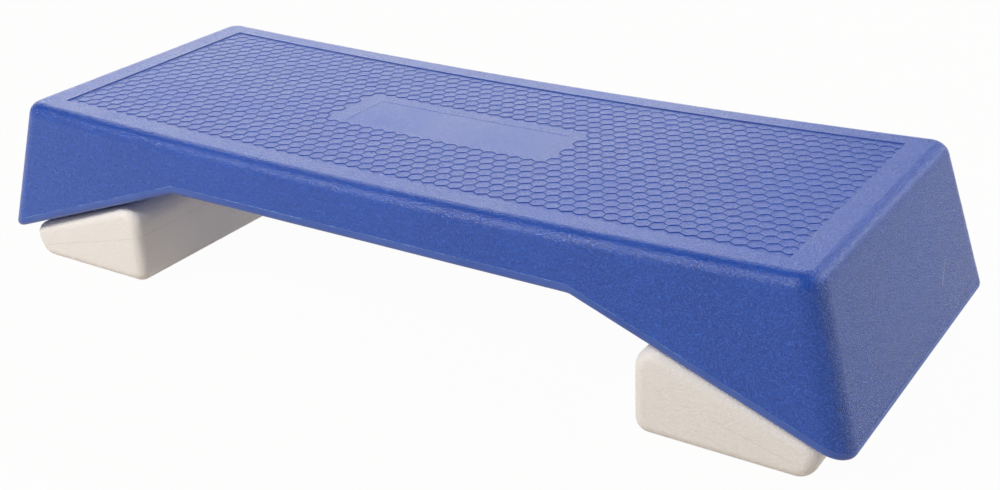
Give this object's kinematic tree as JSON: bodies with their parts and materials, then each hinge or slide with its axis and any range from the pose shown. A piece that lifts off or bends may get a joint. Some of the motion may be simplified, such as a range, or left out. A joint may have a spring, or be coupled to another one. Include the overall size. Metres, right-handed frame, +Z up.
{
  "type": "aerobic step platform",
  "caption": "Long arched plastic step deck with a sagging honeycomb tread, sloping ends and removable full-width wedge feet that push onto its underside.",
  "frame": {"origin": "on the floor under the middle of the deck", "axes": "+X along the deck's length, +Y across it away from the near side, +Z up"},
  "size_m": [1.0052, 0.3786, 0.1856],
  "materials": {
    "deck_plastic": "grained moulded polyethylene",
    "rim_plastic": "smooth moulded polyethylene",
    "foot_plastic": "finely grained moulded polyethylene",
    "stud_nylon": "plain moulded nylon",
    "socket_rubber": "matt moulded rubber",
    "pad_rubber": "matt moulded rubber",
    "screw_steel": "zinc plated"
  },
  "bodies": {
    "deck": {"deck_shell": "deck_plastic", "deck_base": "rim_plastic", "left_near_inner_socket": "socket_rubber", "left_near_outer_socket": "socket_rubber", "left_far_inner_socket": "socket_rubber", "left_far_outer_socket": "socket_rubber", "right_near_inner_socket": "socket_rubber", "right_near_outer_socket": "socket_rubber", "right_far_inner_socket": "socket_rubber", "right_far_outer_socket": "socket_rubber"},
    "left_foot": {"left_foot_upper_shell": "foot_plastic", "left_foot_lower_shell": "foot_plastic", "left_near_inner_stud": "stud_nylon", "left_near_outer_stud": "stud_nylon", "left_far_inner_stud": "stud_nylon", "left_far_outer_stud": "stud_nylon", "left_stud_screws": "screw_steel", "left_near_inner_pad": "pad_rubber", "left_near_outer_pad": "pad_rubber", "left_far_inner_pad": "pad_rubber", "left_far_outer_pad": "pad_rubber"},
    "right_foot": {"right_foot_upper_shell": "foot_plastic", "right_foot_lower_shell": "foot_plastic", "right_near_inner_stud": "stud_nylon", "right_near_outer_stud": "stud_nylon", "right_far_inner_stud": "stud_nylon", "right_far_outer_stud": "stud_nylon", "right_stud_screws": "screw_steel", "right_near_inner_pad": "pad_rubber", "right_near_outer_pad": "pad_rubber", "right_far_inner_pad": "pad_rubber", "right_far_outer_pad": "pad_rubber"}
  },
  "joints": [
    {"name": "left_foot_pull", "type": "slide", "parent": "deck", "child": "left_foot", "axis": [0.3253, 0, -0.9456], "range_m": [0, 0.022]},
    {"name": "right_foot_pull", "type": "slide", "parent": "deck", "child": "right_foot", "axis": [-0.3253, 0, -0.9456], "range_m": [0, 0.022]}
  ]
}
